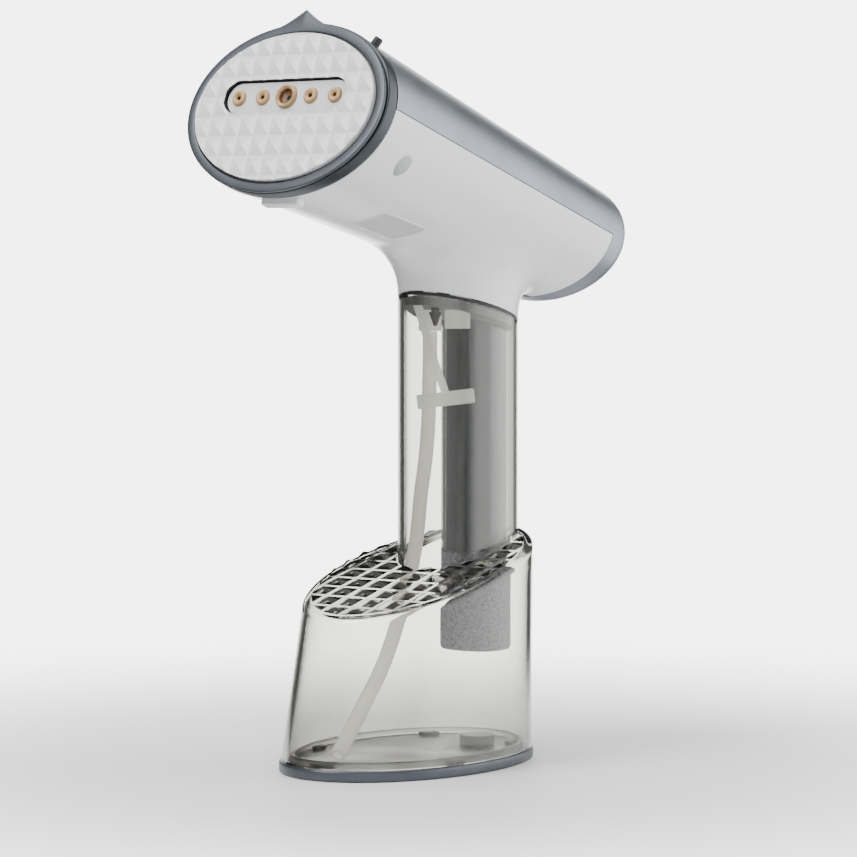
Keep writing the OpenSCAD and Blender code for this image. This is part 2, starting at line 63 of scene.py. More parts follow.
def make_camera():
    """Looks at the steamer from its front right, a little below the head."""
    data = bpy.data.cameras.new("camera")
    data.lens = CAMERA_LENS
    data.sensor_width = CAMERA_SENSOR
    camera = bpy.data.objects.new("camera", data)
    camera.location = CAMERA_AT
    camera.rotation_euler = (pi / 2 + radians(CAMERA_PITCH), 0, radians(CAMERA_AZIMUTH))
    bpy.context.collection.objects.link(camera)
    bpy.context.scene.camera = camera


def link(name, mesh, mat):
    obj = bpy.data.objects.new(name, mesh)
    bpy.context.collection.objects.link(obj)
    mesh.materials.append(mat)
    return obj


def build(name, verts, faces, mat, sharp, matrix=None):
    """A smooth-shaded mesh object from points in millimetres."""
    mesh = bpy.data.meshes.new(name)
    if matrix is not None:
        verts = [matrix @ Vector(v) for v in verts]
    mesh.from_pydata([tuple(c * MM for c in v) for v in verts], [], faces)
    work = bmesh.new()
    work.from_mesh(mesh)
    bmesh.ops.remove_doubles(work, verts=work.verts, dist=1e-6)
    bmesh.ops.recalc_face_normals(work, faces=work.faces)
    work.to_mesh(mesh)
    work.free()
    shade(mesh, sharp)
    return link(name, mesh, mat)


def shade(mesh, sharp):
    mesh.shade_smooth()
    mesh.set_sharp_from_angle(angle=radians(sharp))


def recolour(obj, mat, chosen):
    """Gives the chosen faces a second material; chosen(centre, normal) works in millimetres."""
    mesh = obj.data
    first = mesh.materials[0]
    mesh.materials.clear()
    mesh.materials.append(first)
    mesh.materials.append(mat)
    for face in mesh.polygons:
        face.material_index = 1 if chosen(face.center / MM, face.normal) else 0


def settle(obj, body, slot, *nodes):
    """obj rides on a body and stands for some CAD nodes; the slot argument is not used."""
    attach(obj, body)
    if nodes:
        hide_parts(*nodes)
    return obj


def smooth_path(points, steps):
    """Catmull-Rom curve through the points, in their own units."""
    p = [Vector(q) for q in points]
    out = []
    for i in range(len(p) - 1):
        a, b, c, d = p[max(i - 1, 0)], p[i], p[i + 1], p[min(i + 2, len(p) - 1)]
        for j in range(steps):
            t = j / steps
            out.append((2 * b + (c - a) * t + (2 * a - 5 * b + 4 * c - d) * t * t
                        + (3 * b - a - 3 * c + d) * t ** 3) / 2)
    return out + [p[-1]]


def tube_mesh(name, path, outer, inner, mat, sides=32):
    """A hollow tube along a path in millimetres, with open bore and rounded ends."""
    rows = []
    last = len(path) - 1
    side = Vector((1, 0, 0))
    edge = (outer - inner) / 2
    for k, p in enumerate(path):
        t = (path[min(k + 1, last)] - path[max(k - 1, 0)]).normalized()
        u = t.cross(side).normalized()
        rows.append((p, u, t.cross(u)))

    def ring(row, r):
        p, u, w = row
        return [p + r * (cos(2 * pi * j / sides) * u + sin(2 * pi * j / sides) * w)
                for j in range(sides)]

    loops = [ring(rows[0], inner + edge)] + [ring(row, outer) for row in rows]
    loops += [ring(rows[-1], inner + edge)] + [ring(row, inner) for row in reversed(rows)]
    return loft(name, loops, mat, sharp=50, closed=True)


def weave(loops, closed):
    """Joins loops of equal length with quads, in a ring or with a cap on each end."""
    n, m = len(loops[0]), len(loops)
    verts = [v for loop in loops for v in loop]
    faces = []
    for i in range(m if closed else m - 1):
        a, b = i * n, ((i + 1) % m) * n
        faces += [(a + j, a + (j + 1) % n, b + (j + 1) % n, b + j) for j in range(n)]
    if not closed:
        faces += [tuple(range(n))[::-1], tuple(range((m - 1) * n, m * n))]
    return verts, faces


def loft(name, loops, mat, matrix=None, sharp=35.0, closed=False):
    """An object woven over loops of points in millimetres."""
    verts, faces = weave(loops, closed)
    return build(name, verts, faces, mat, sharp, matrix)


# ---- Materials ------------------------------------------------------------------------------

def material(name, **sockets):
    """A principled material whose constant sockets are set directly."""
    mat = bpy.data.materials.new(name)
    mat.use_nodes = True
    shader = mat.node_tree.nodes["Principled BSDF"]
    for key, value in sockets.items():
        shader.inputs[key.replace("_", " ")].default_value = value
    return mat


def noise(mat, scale, detail):
    nodes, links = mat.node_tree.nodes, mat.node_tree.links
    where = nodes.new("ShaderNodeTexCoord")
    tex = nodes.new("ShaderNodeTexNoise")
    tex.inputs["Scale"].default_value = scale
    tex.inputs["Detail"].default_value = detail
    links.new(where.outputs["Object"], tex.inputs["Vector"])
    return tex


NOISE_LOW, NOISE_HIGH = 0.3, 0.7    # where a noise texture's values mostly lie


def spread(mat, source, low, high):
    """Maps a noise texture's value to a range."""
    node = mat.node_tree.nodes.new("ShaderNodeMapRange")
    node.inputs["From Min"].default_value = NOISE_LOW
    node.inputs["From Max"].default_value = NOISE_HIGH
    node.inputs["To Min"].default_value = low
    node.inputs["To Max"].default_value = high
    mat.node_tree.links.new(source, node.inputs["Value"])
    return node.outputs["Result"]


def vary_colour(mat, dark, light, scale, detail=3.0):
    """Blotches between two colours."""
    nodes, links = mat.node_tree.nodes, mat.node_tree.links
    ramp = nodes.new("ShaderNodeValToRGB")
    ramp.color_ramp.elements[0].position = NOISE_LOW
    ramp.color_ramp.elements[1].position = NOISE_HIGH
    ramp.color_ramp.elements[0].color = (*dark, 1)
    ramp.color_ramp.elements[1].color = (*light, 1)
    links.new(noise(mat, scale, detail).outputs["Fac"], ramp.inputs["Fac"])
    links.new(ramp.outputs["Color"], nodes["Principled BSDF"].inputs["Base Color"])


def vary_roughness(mat, low, high, scale, detail=4.0):
    value = spread(mat, noise(mat, scale, detail).outputs["Fac"], low, high)
    mat.node_tree.links.new(value, mat.node_tree.nodes["Principled BSDF"].inputs["Roughness"])


def grain(mat, scale, depth, detail=2.0, strength=0.4):
    """Fine surface relief; depth is in millimetres."""
    nodes, links = mat.node_tree.nodes, mat.node_tree.links
    bump = nodes.new("ShaderNodeBump")
    bump.inputs["Strength"].default_value = strength
    bump.inputs["Distance"].default_value = depth * MM
    links.new(noise(mat, scale, detail).outputs["Fac"], bump.inputs["Height"])
    links.new(bump.outputs["Normal"], nodes["Principled BSDF"].inputs["Normal"])


def finish_of(name, dark, light, rough, scale, relief, **sockets):
    """A material with blotches of colour, worn roughness and fine relief."""
    mat = material(name, **sockets)
    vary_colour(mat, dark, light, scale)
    vary_roughness(mat, rough[0], rough[1], scale * 1.7)
    grain(mat, relief[0], relief[1])
    return mat


def clear_plastic(name, dark, light, rough, relief, density):
    """A finish for clear mouldings, which darken with the length of plastic looked through."""
    mat = finish_of(name, dark, light, rough, 30.0, relief, Transmission_Weight=1.0, IOR=1.49)
    nodes, links = mat.node_tree.nodes, mat.node_tree.links
    haze = nodes.new("ShaderNodeVolumeAbsorption")
    haze.inputs["Color"].default_value = (0.12, 0.11, 0.0, 1)
    haze.inputs["Density"].default_value = density
    links.new(haze.outputs["Volume"], nodes["Material Output"].inputs["Volume"])
    return mat


# Each finish: dark and light colour, range of roughness, blotch scale, relief scale and depth
WHITE = finish_of("white_plastic", (0.80, 0.81, 0.82), (0.83, 0.84, 0.85), (0.22, 0.30),
                  40.0, (2500.0, 0.006), Coat_Weight=0.25, Coat_Roughness=0.12)
GREY = finish_of("grey_metallic", (0.205, 0.232, 0.268), (0.235, 0.262, 0.298), (0.30, 0.38),
                 60.0, (4200.0, 0.012), Metallic=0.85, Coat_Weight=0.15, Coat_Roughness=0.25)
DARK_GREY = finish_of("dark_metallic", (0.150, 0.175, 0.205), (0.175, 0.200, 0.232), (0.28, 0.36),
                      60.0, (4200.0, 0.012), Metallic=0.85)
BEZEL = finish_of("bezel_metallic", (0.075, 0.084, 0.097), (0.090, 0.100, 0.114), (0.34, 0.42),
                  60.0, (4200.0, 0.012), Metallic=0.8)
COLLAR = finish_of("collar_metallic", (0.040, 0.046, 0.054), (0.052, 0.059, 0.068), (0.30, 0.38),
                   60.0, (4200.0, 0.012), Metallic=0.8)
PLATE = finish_of("white_plate", (0.86, 0.87, 0.89), (0.90, 0.91, 0.925), (0.30, 0.40),
                  50.0, (900.0, 0.01), Coat_Weight=0.3, Coat_Roughness=0.2)
SPINE = finish_of("spine_metallic", (0.095, 0.118, 0.160), (0.112, 0.137, 0.182), (0.34, 0.40),
                  60.0, (4200.0, 0.012), Metallic=0.85)
SMOKE = clear_plastic("clear_plastic", (0.95, 0.95, 0.93), (0.97, 0.97, 0.955), (0.012, 0.03),
                      (60.0, 0.004), 105.0)
SATIN = clear_plastic("clear_satin", (0.84, 0.84, 0.81), (0.90, 0.90, 0.87), (0.28, 0.40),
                      (300.0, 0.02), 60.0)
FROST = finish_of("clear_frosted", (0.08, 0.10, 0.14), (0.62, 0.65, 0.70), (0.30, 0.55),
                  1100.0, (900.0, 5.0), Transmission_Weight=0.5, IOR=1.49)
# Silicone with a faint emission: a painted glow that lightens the tube and strap seen inside the
# clear tank
SILICONE_PAINTED_GLOW = finish_of("silicone", (0.90, 0.90, 0.86), (0.94, 0.94, 0.91), (0.38, 0.5),
                     80.0, (700.0, 0.02), Transmission_Weight=0.35, IOR=1.41,
                     Subsurface_Weight=0.4, Subsurface_Scale=0.004,
                     Emission_Color=(0.92, 0.92, 0.86, 1), Emission_Strength=0.22)
BEIGE = finish_of("beige_nozzle", (0.46, 0.27, 0.11), (0.60, 0.40, 0.20), (0.32, 0.45),
                  400.0, (2200.0, 0.02), Subsurface_Weight=0.15, Subsurface_Scale=0.001)
# Dark brown painted shade for the nozzles' mouths and bores
NOZZLE_PAINTED_SHADE = finish_of("nozzle_painted_shade", (0.10, 0.045, 0.015), (0.22, 0.11, 0.045), (0.4, 0.55),
                  400.0, (2200.0, 0.02))
LABEL = finish_of("blank_label", (0.50, 0.505, 0.51), (0.54, 0.545, 0.55), (0.35, 0.45),
                  60.0, (2200.0, 0.01))
# Black rubber, also laid on walls in the gaps round the plate, slot and nozzle strip as painted
# shade
BLACK_RUBBER_AND_PAINTED_SHADE = finish_of("black_rubber", (0.012, 0.012, 0.014), (0.022, 0.022, 0.025), (0.5, 0.7),
                  120.0, (1800.0, 0.03))
MID = finish_of("grey_plastic", (0.30, 0.315, 0.335), (0.35, 0.365, 0.385), (0.38, 0.5),
                70.0, (2600.0, 0.02))
STEEL = finish_of("steel", (0.50, 0.51, 0.53), (0.62, 0.63, 0.65), (0.22, 0.4),
                  150.0, (900.0, 0.01), Metallic=1.0)
CAST = finish_of("cast_aluminium", (0.55, 0.56, 0.57), (0.68, 0.69, 0.70), (0.4, 0.6),
                 200.0, (1100.0, 0.08), Metallic=1.0)
COIL = finish_of("coil_wrap", (0.30, 0.06, 0.03), (0.42, 0.10, 0.06), (0.35, 0.55),
                 150.0, (900.0, 0.05))
BOARD = finish_of("board", (0.02, 0.11, 0.05), (0.04, 0.16, 0.08), (0.3, 0.45),
                  160.0, (1400.0, 0.02))
AMBER = finish_of("amber_lens", (0.80, 0.38, 0.05), (0.90, 0.48, 0.10), (0.08, 0.16),
                  300.0, (900.0, 0.005), Transmission_Weight=0.6)
FIBRE = finish_of("graphite_seal", (0.45, 0.20, 0.06), (0.60, 0.28, 0.09), (0.6, 0.8),
                  300.0, (1600.0, 0.06))
WIRE = finish_of("wire_red", (0.35, 0.02, 0.015), (0.48, 0.04, 0.03), (0.4, 0.5),
                 200.0, (1500.0, 0.02))

SLOT_LOOKS = {
    "clear_plastic": SMOKE, "white_plastic": WHITE, "grey_metallic": GREY, "dark_grey": DARK_GREY,
    "white_plate": PLATE, "grey_plastic": MID, "beige_nozzle": BEIGE, "silicone": SILICONE_PAINTED_GLOW,
    "black_rubber": BLACK_RUBBER_AND_PAINTED_SHADE, "steel": STEEL, "cast_aluminium": CAST, "coil_wrap": COIL,
    "board": BOARD, "amber_lens": AMBER, "graphite_seal": FIBRE, "wire_red": WIRE,
}


def dress_cad_nodes():
    for row in frame["record"]["subparts"]:
        mesh = NODES[row["node"]].data
        mesh.materials.clear()
        mesh.materials.append(SLOT_LOOKS[row["material_slot"]])
        shade(mesh, 30)


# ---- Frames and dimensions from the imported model, in millimetres ----------------------------

def axis_of(joint):
    for row in frame["record"]["behaviour"]["joints"]:
        if row["name"] == joint:
            return Vector(row["axis"]).normalized()
    raise KeyError(joint)


def middle(node):
    low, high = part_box(node)
    return (Vector(low) + Vector(high)) / (2 * MM)


SIDE = Vector((1, 0, 0))
FRONT = axis_of("power_button_press")
UP = axis_of("release_tab_press")
PLATE_T = 2.9
FACE = middle("steam_plate") + FRONT * PLATE_T / 2
HEAD = Matrix((SIDE, UP, FRONT)).transposed().to_4x4()
HEAD.translation = FACE
to_head = HEAD.inverted()

# Head, in its own frame: x sideways, v upwards, s backwards from the steam plate
plate_a, plate_b = 39.6, 27.9                       # half axes of the steam plate
head_a, head_b, head_c = 44.4, 32.2, 0.54           # casing at its front: half axes, centre
head_s, rim_s, end_s = 8.0, 162.5, 175.9            # casing's front, cover's rear part, rear end
taper_a, taper_b, lift = 0.0583, 0.0442, 0.0778     # how these change per millimetre backwards
round_r = 6.0                                       # rounding of the rear end
casing_wall, cover_gap = 2.2, 0.35                  # shells' thickness, and the gap between them
row_v, nozzle_pitch = 4.0, 10.8                     # row of nozzles
slot_w, slot_h = 55.0, 12.5                         # opening round the nozzles
socket_r, socket_v, socket_s = 3.6, -13, 26.3       # blind sockets in the casing's sides
panel_v, panel_s = 13.4, 170                        # rear panel, and where its opening is cut
tab_s = 12.05                                       # release tab

# Tank, in the part's frame: half axes a and b, centre y, heights z
foot_a, foot_b, foot_h = 39.4, 58.6, 4.2            # foot plate
wall = 2.2                                          # clear walls
rim_a, rim_b, rim_y = 37.4, 51.7, 6.6               # outline of the deck
deck_z, deck_slope = 70.0, 0.28                     # deck's height at y = 0, and its rise
col_a, col_b, col_y = 20.5, 26.4, 31.5              # column
seam_z, seam_slope = 168.6, 0.25                    # column's top at its centre, and its fall
spine_a, spine_b, spine_y, spine_z, spine_power = 11.0, 10.0, 43.2, 41.0, 2.6
well_gap, well_wall = 0.3, 1.6                      # the spine's pocket: gap and wall


def half_a(s):
    return head_a - taper_a * (s - head_s)


def half_b(s):
    return head_b - taper_b * (s - head_s)


def mid_v(s):
    return head_c + lift * (s - head_s)


def deck(y):
    return deck_z + deck_slope * y


def seam(y, below=0.0):
    return seam_z + seam_slope * (col_y - y) - below


def oval(a, b, c=0.0, n=ROUND):
    return [(a * cos(2 * pi * i / n), c + b * sin(2 * pi * i / n)) for i in range(n)]


def squircle(a, b, c, power, n=ROUND):
    """An oval that bulges towards its corners."""
    def soft(x):
        return (abs(x) ** (2 / power)) * (1 if x >= 0 else -1)
    return [(a * soft(cos(2 * pi * i / n)), c + b * soft(sin(2 * pi * i / n))) for i in range(n)]


def at(points, z):
    """Lifts flat points to a height, which may be a function of y."""
    return [(x, y, z(y) if callable(z) else z) for x, y in points]


def rounded(outline, z0, z1, r, steps=4):
    """Loops of a solid whose outline(inset) edges are rounded by r, from z0 up to z1."""
    turns = [radians(90 * k / steps) for k in range(steps + 1)]
    low = [at(outline(r * (1 - sin(t))), z0 + r * (1 - cos(t))) for t in turns]
    high = [at(outline(r * (1 - sin(t))), z1 - r * (1 - cos(t))) for t in reversed(turns)]
    return low + high


def solid(name, outline, z0, z1, r, mat, matrix=None, sharp=40.0):
    return loft(name, rounded(outline, z0, z1, r), mat, matrix, sharp)


def annulus(name, outer, inner, z0, z1, r, mat, matrix=None, sharp=40.0):
    """A ring between outer(inset) and inner(inset) with rounded edges."""
    outside = rounded(outer, z0, z1, r)
    inside = rounded(lambda inset: inner(-inset), z0, z1, r)
    return loft(name, outside + inside[::-1], mat, matrix, sharp, closed=True)


def lathe(name, profile, mat, matrix, n, sharp, closed=False):
    """Revolves (radius, height) points about the local z axis."""
    return loft(name, [at(oval(r, r, 0, n), z) for r, z in profile], mat, matrix, sharp, closed)


def rod(name, matrix, r, z0, z1, mat, n=64):
    """A round solid along the matrix's z axis."""
    outline = oval(r, r, 0, n)
    return loft(name, [at(outline, z0), at(outline, z1)], mat, matrix)


def cut(obj, cutter, operation="DIFFERENCE"):
    """Applies one boolean and removes the cutter."""
    step = obj.modifiers.new("cut", "BOOLEAN")
    step.operation = operation
    step.solver = "EXACT"
    step.object = cutter
    return apply_modifiers(obj, cutter)


def apply_modifiers(obj, *spare):
    """Bakes the modifiers into the mesh, then removes the objects that they used."""
    bpy.context.view_layer.update()
    mesh = bpy.data.meshes.new_from_object(obj.evaluated_get(bpy.context.evaluated_depsgraph_get()))
    obj.modifiers.clear()
    obj.data = mesh
    for other in spare:
        bpy.data.objects.remove(other)
    return obj


def face_at(x, v, s=0.0):
    """Matrix of a spot on the head, with z forwards; s is the distance behind the steam plate."""
    return HEAD @ Matrix.Translation((x, v, -s))


# ---- Suction tube ---------------------------------------------------------------------------

def make_suction_tube():
    route = smooth_path([
        (-4, 19, 159.8), (-4, 19, 150), (-4.5, 19.2, 138), (-5, 19.2, 125), (-6, 18.8, 112),
        (-7, 17.2, 98.5), (-8, 16.4, 85), (-9, 15, 74), (-8, 9.5, 63), (-6, 2.5, 53.5),
        (-4, -6, 43), (-2, -15.5, 33.5), (0, -27, 24), (2, -38, 15), (3.5, -46.5, 8),
    ], 5)
    # The tube's silicone carries a painted glow
    tube = tube_mesh("suction_tube_soft", route, 2.75, 1.75, SILICONE_PAINTED_GLOW)
    settle(tube, "tank", "silicone", "suction_tube")


# ---- Tank -----------------------------------------------------------------------------------

def base_loops(inset, drop, corner, bottom):
    """Loops of the tapering base up to its sloping deck, with a rounded upper edge."""
    foot_step, rows, steps = 0.8, 12, 6
    a0, b0 = foot_a - foot_step - inset, foot_b - foot_step - inset
    a1, b1 = rim_a - inset, rim_b - inset
    loops = []
    for i in range(rows + 1):
        t = i / rows
        outline = oval(a0 + (a1 - a0) * t, b0 + (b1 - b0) * t, rim_y * t)
        top = oval(a1, b1, rim_y)
        loops.append([(x, y, bottom + (deck(ty) - drop - corner - bottom) * t)
                      for (x, y), (tx, ty) in zip(outline, top)])
    for k in range(1, steps + 1):
        t = radians(90 * k / steps)
        shift = corner * (1 - cos(t))
        loops.append([(x, y, deck(y) - drop - corner * (1 - sin(t)))
                      for x, y in oval(a1 - shift, b1 - shift, rim_y)])
    return loops


def column_solid(name, inset, z0, z1):
    outline = oval(col_a - inset, col_b - inset, col_y)
    return loft(name, [at(outline, z0), at(outline, z1)], SMOKE)


def frost_line(y):
    """Height under the deck where the spine's pocket stops being frosted."""
    return deck(y) - 3.0


def well_solid(name, grow, z0, z1):
    """The spine's pocket, with rounded lower edge and a loop where the frosting ends."""
    r = 1.6

    def section(inset):
        return squircle(spine_a + grow - inset, spine_b + grow - inset, spine_y, spine_power)
    turns = [radians(30 * k) for k in range(4)]
    loops = [at(section(r * (1 - sin(t))), z0 + r * (1 - cos(t))) for t in turns]
    return loft(name, loops + [at(section(0), frost_line), at(section(0), z1)], SMOKE)


def deck_pyramids(name):
    """Raised four-sided studs over the deck, with flat channels between."""
    pitch_x, pitch_y, channel, height, root, step = 9.5, 9.0, 1.5, 1.5, 0.6, 0.02
    border_x, border_y, gap = 3.6, 3.8, 0.6     # smooth edge of the deck, and gap at the column
    low, high = 20, 160                         # heights well below and above the deck
    w, d = (pitch_x - channel) / 2, (pitch_y - channel) / 2
    verts, faces = [], []
    for i in range(-5, 6):
        for j in range(-7, 8):
            x, y = (i + 0.5) * pitch_x, rim_y + j * pitch_y
            base = len(verts)
            for dz in (-root, step):
                verts += [(x + p * w, y + q * d, deck(y + q * d) + dz)
                          for p, q in ((-1, -1), (1, -1), (1, 1), (-1, 1))]
            verts.append((x, y, deck(y) + height))
            faces.append((base + 3, base + 2, base + 1, base))
            for k in range(4):
                n = (k + 1) % 4
                faces += [(base + k, base + n, base + 4 + n, base + 4 + k),
                          (base + 4 + k, base + 4 + n, base + 8)]
    field = build(name, verts, faces, SMOKE, 5)
    edge = oval(rim_a - border_x, rim_b - border_y, rim_y)
    cut(field, loft("edge", [at(edge, low), at(edge, high)], SMOKE), "INTERSECT")
    return cut(field, column_solid("hole", -gap, low, high))


def make_tank():
    """Base and column in one clear piece, hollow but for the spine's pocket."""
    joint_z, over = 60, 210             # a height inside the base, and one above the tank
    corner, inner_corner = 2.8, 1.6     # rounding of the deck's edge, outside and inside
    deck_t, seal_t = 2.0, 1.5           # thickness of the deck, and room for the seal
    pocket_z, socket_z = spine_z - 2.5, spine_z - 0.9
    tank = loft("tank", base_loops(0, 0, corner, foot_h), SMOKE)
    cut(tank, column_solid("column", 0, joint_z, lambda y: seam(y, seal_t)), "UNION")
    cut(tank, deck_pyramids("studs"), "UNION")
    cavity = loft("cavity", base_loops(wall, deck_t, inner_corner, foot_h - 1), SMOKE)
    cut(cavity, column_solid("bore", wall, joint_z, 200), "UNION")
    cut(cavity, well_solid("pocket", well_gap + well_wall, pocket_z, over))
    cut(tank, cavity)
    cut(tank, well_solid("socket", well_gap, socket_z, over))
    shade(tank.data, 28)
    around = 2.3                        # takes in the pocket's wall, but not the tank's

    def frosted(spot, normal):
        across, along = spot.x / (spine_a + around), (spot.y - spine_y) / (spine_b + around)
        reach = abs(across) ** spine_power + abs(along) ** spine_power
        return reach < 1 and spine_z - 3 < spot.z < frost_line(spot.y) + 0.8
    recolour(tank, FROST, frosted)
    return settle(tank, "tank", "clear_plastic", "tank_base", "handle_column")


def boss_spots():
    """Places of the five screw bosses on the floor."""
    turns = [radians(72 * i - 90) for i in range(5)]
    return [Matrix.Translation((34 * cos(t), 50 * sin(t), 0)) for t in turns]


def make_floor():
    """The clear floor with its lip and low screw bosses."""
    border, under, top = 2.3, 2.4, 4.0
    lip_a, lip_b, lip_t, lip_top = foot_a - 4.3, foot_b - 4.3, 1.4, foot_h + 2.4
    root, boss_r, boss_h, screw_r = 0.6, 4, 1.4, 1.3
    floor = solid("tank_floor_smooth", lambda e: oval(foot_a - border - e, foot_b - border - e),
                  under, top, 0.2, SATIN)
    lip = annulus("lip", lambda e: oval(lip_a - e, lip_b - e),
                  lambda e: oval(lip_a - lip_t - e, lip_b - lip_t - e),
                  top - root, lip_top, 0.4, SATIN)
    cut(floor, lip, "UNION")
    for spot in boss_spots():
        boss = solid("boss", lambda e: oval(boss_r - e, boss_r - e, 0, 48),
                     top - root, top + boss_h, 0.5, SATIN, spot)
        edge = oval(lip_a - 0.3, lip_b - 0.3)
        cut(boss, loft("edge", [at(edge, 0), at(edge, 20)], SMOKE), "INTERSECT")
        cut(floor, boss, "UNION")
        cut(floor, rod("screw_hole", spot, screw_r, 0, top + 1.0, SATIN, 32))
    cut(floor, rod("drain_hole", Matrix.Translation((8, 32.5, 0)), 4.1, 0, 20, SATIN, 48))
    floor.data.materials.clear()
    floor.data.materials.append(SATIN)
    shade(floor.data, 35)
    settle(floor, "tank", "clear_plastic", "tank_floor")


def make_foot():
    """The metallic plate under the tank, with pockets for its rubber feet."""
    top, border, tray_z, edge_r = foot_h - 0.02, 2.2, 2.4, 0.9
    pocket_r, pocket_h = 5.1, 1.0

    def rim(inset):
        return oval(foot_a - inset, foot_b - inset)
    inner = [at(rim(border), top), at(rim(border), tray_z)]
    plate = loft("foot_plate_smooth", rounded(rim, 0, top, edge_r) + inner, BEZEL)
    for spot in boss_spots():
        cut(plate, rod("pocket", spot, pocket_r, -1, pocket_h, BEZEL, 32))
    shade(plate.data, 35)
    settle(plate, "tank", "grey_metallic", "foot_plate")


def ring_at_seam(name, outer, inner, low, high, mat):
    """A ring on the column's sloping rim, between two insets and two depths below the seam."""
    loops = [at(oval(col_a - e, col_b - e, col_y), lambda y, d=d: seam(y, d))
             for e, d in ((outer, low), (outer, high), (inner, high), (inner, low))]
    return loft(name, loops, mat, closed=True)


def make_tank_fittings():
    """The seal on the tank's rim, and the filler plug's strap with its cross bar."""
    seal = ring_at_seam("tank_seal_smooth", 0.5, wall + 0.6, 1.48, 0.3, BLACK_RUBBER_AND_PAINTED_SHADE)
    settle(seal, "tank", "black_rubber", "tank_seal")
    bar = Matrix.Translation((5.1, 16.6, 134.8)) @ Matrix.Rotation(radians(34.3), 4, "Z") \
        @ Matrix.Rotation(radians(-7), 4, "Y")
    tether = slab("plug_tether_smooth", (21, 1.4, 5.4), 0.5, SILICONE_PAINTED_GLOW, bar)
    strap, half_w, half_t = [], 1.5, 0.4
    line = smooth_path([(-2.1, 9.4, 170), (0.2, 10.8, 160), (2.6, 13.0, 149), (5.1, 16.4, 137)], 6)
    u = Vector((cos(radians(34)), sin(radians(34)), 0))
    for k, p in enumerate(line):
        t = (line[min(k + 1, len(line) - 1)] - line[max(k - 1, 0)]).normalized()
        n = u.cross(t).normalized()
        strap.append([p + u * i * half_w + n * j * half_t
                      for i, j in ((-1, -1), (1, -1), (1, 1), (-1, 1))])
    merge(tether, loft("strap", strap, SILICONE_PAINTED_GLOW, sharp=30))
    settle(tether, "tank", "silicone", "plug_tether")


def slab(name, size, r, mat, matrix):
    """A box with rounded edges; size in millimetres."""
    mesh = bpy.data.meshes.new(name)
    work = bmesh.new()
    bmesh.ops.create_cube(work, size=1, matrix=Matrix.Diagonal((*size, 1)))
    bmesh.ops.bevel(work, geom=work.edges[:], offset=r, segments=3, profile=0.5, affect="EDGES")
    for vert in work.verts:
        vert.co = (matrix @ vert.co) * MM
    work.to_mesh(mesh)
    work.free()
    shade(mesh, 40)
    return link(name, mesh, mat)


def merge(obj, other):
    """Adds another object's mesh to this one."""
    work = bmesh.new()
    work.from_mesh(obj.data)
    work.from_mesh(other.data)
    work.to_mesh(obj.data)
    work.free()
    bpy.data.objects.remove(other)
    return obj


# ---- Head shells ----------------------------------------------------------------------------

FACE_P, FRONT_P, UP_P = np.array(FACE), np.array(FRONT), np.array(UP)
BLEND = 15.0                    # how far the fillet between head and neck reaches
HEAD_START = 3.0                # where the uncut head begins, behind the steam plate
NECK_TOP = 204                  # a height inside the head
SEAM_N = Vector((0, seam_slope, 1)).normalized()
SHELL_BOX = ((-48.8, -84.3, 162.2), (48.8, 106.1, 290.6))
SHELL_CELL = 1.6


def head_field(p):
    """Rough distance outside the head blended into its neck, for an (n, 3) array of points."""
    q = p - FACE_P
    x, v, s = q[:, 0], q @ UP_P, -(q @ FRONT_P)
    a, b = half_a(s), half_b(s)
    u, w = x / a, (v - mid_v(s)) / b
    r = np.hypot(u, w) + 1e-9
    side = (r - 1) * r / np.hypot(u / a, w / b)
    over, past = side + round_r, s - end_s + round_r
    head = np.minimum(np.maximum(over, past), 0) \
        + np.hypot(np.maximum(over, 0), np.maximum(past, 0)) - round_r
    head = np.maximum(head, HEAD_START - s)
    u, w = x / col_a, (p[:, 1] - col_y) / col_b
    r = np.hypot(u, w) + 1e-9
    neck = np.maximum((r - 1) * r / np.hypot(u / col_a, w / col_b), p[:, 2] - NECK_TOP)
    mix = np.maximum(BLEND - np.abs(head - neck), 0) / BLEND
    return np.minimum(head, neck) - mix * mix * BLEND / 4


def slope(field, p, h=0.05):
    """Gradient of the field at each point."""
    steps = np.eye(3) * h
    return np.stack([(field(p + e) - field(p - e)) / (2 * h) for e in steps], axis=1)


def surface_net(field, low, high, step):
    """Quads over the zero surface of a field, with every point moved onto it."""
    axes = [np.arange(a, b + step, step) for a, b in zip(low, high)]
    grid = np.stack(np.meshgrid(*axes, indexing="ij"), axis=-1)
    inside = (field(grid.reshape(-1, 3)) < 0).reshape(grid.shape[:3])
    count = np.zeros([n - 1 for n in inside.shape], dtype=int)
    for i in (0, 1):
        for j in (0, 1):
            for k in (0, 1):
                count += inside[i:i + count.shape[0], j:j + count.shape[1], k:k + count.shape[2]]
    cells = np.argwhere((count > 0) & (count < 8))
    number = -np.ones(count.shape, dtype=int)
    number[tuple(cells.T)] = np.arange(len(cells))
    points = np.array(low) + (cells + 0.5) * step
    for _ in range(6):
        g = slope(field, points)
        points -= (field(points) / np.maximum((g * g).sum(axis=1), 0.05))[:, None] * g
    quads = []
    for axis in range(3):
        b, c = (axis + 1) % 3, (axis + 2) % 3
        edges = np.argwhere(np.diff(inside.astype(int), axis=axis) != 0)
        inner = (edges[:, b] > 0) & (edges[:, c] > 0) \
            & (edges[:, b] < count.shape[b]) & (edges[:, c] < count.shape[c])
        ring = []
        for db, dc in ((0, 0), (1, 0), (1, 1), (0, 1)):
            cell = edges[inner].copy()
            cell[:, b] -= db
            cell[:, c] -= dc
            ring.append(number[tuple(cell.T)])
        quads.append(np.stack(ring, axis=1))
    quads = np.concatenate(quads)
    corner = points[quads]
    normal = np.cross(corner[:, 2] - corner[:, 0], corner[:, 3] - corner[:, 1])
    wrong = (normal * slope(field, corner.mean(axis=1))).sum(axis=1) < 0
    quads[wrong] = quads[wrong][:, ::-1]
    return points, quads


